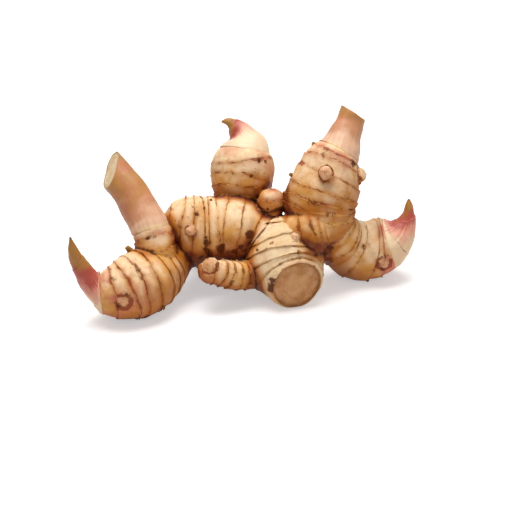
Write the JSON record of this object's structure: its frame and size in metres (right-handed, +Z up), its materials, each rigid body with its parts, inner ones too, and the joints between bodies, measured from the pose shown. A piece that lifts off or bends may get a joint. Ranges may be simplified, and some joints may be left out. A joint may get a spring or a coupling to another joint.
{
  "type": "galangal rhizome",
  "caption": "Branched galangal rhizome with ringed swollen branches, cut leaf stems and pointed young shoots, lying on its lower branches.",
  "frame": {"origin": "on the ground under the middle of the object's box", "axes": "+X to the object's right along its row of branches, +Y to its back, +Z up"},
  "size_m": [0.1854, 0.1057, 0.098],
  "materials": {
    "skin": "thin satin cork skin, cream to tan, with ragged brown leaf scars",
    "stem_sheath": "satin rolled leaf sheath, rose at the foot, olive tan at the cut",
    "shoot_sheath": "satin bud sheath, rose red, olive at the tip"
  },
  "bodies": {
    "root": {"rhizome": "skin", "stem_left": "stem_sheath", "stem_right": "stem_sheath", "shoot_left": "shoot_sheath", "shoot_top": "shoot_sheath", "shoot_right": "shoot_sheath"}
  },
  "joints": []
}
